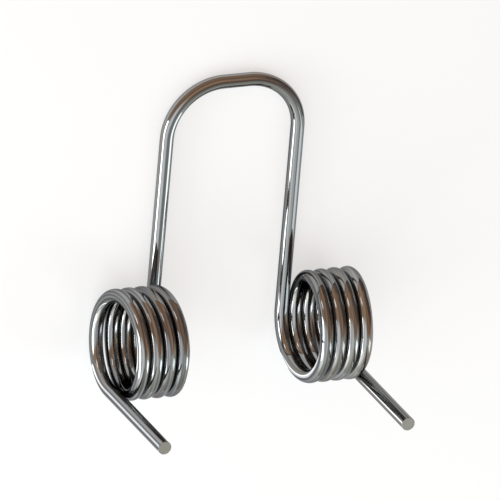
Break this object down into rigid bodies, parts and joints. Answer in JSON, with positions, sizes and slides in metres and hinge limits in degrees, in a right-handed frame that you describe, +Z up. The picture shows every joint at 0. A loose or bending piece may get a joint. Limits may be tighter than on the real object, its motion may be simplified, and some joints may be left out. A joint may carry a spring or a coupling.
{
  "type": "double torsion spring",
  "caption": "Double torsion spring bent from one round wire: two close-wound coils joined by a U-shaped bail, with a straight end leg square to the bail on each coil.",
  "frame": {"origin": "on the two coils' common axis, halfway between the coils", "axes": "+X along the coils' axis towards the right coil, +Y along the bail from the coils towards its end bar, +Z up, away from the surface that the bail and coils lie on, the way the end legs point"},
  "size_m": [0.0596, 0.0684, 0.0427],
  "materials": {
    "steel_wire": "bright drawn steel wire, polished, with faint die lines along the wire"
  },
  "bodies": {
    "root": {"spring_wire": "steel_wire"}
  },
  "joints": []
}
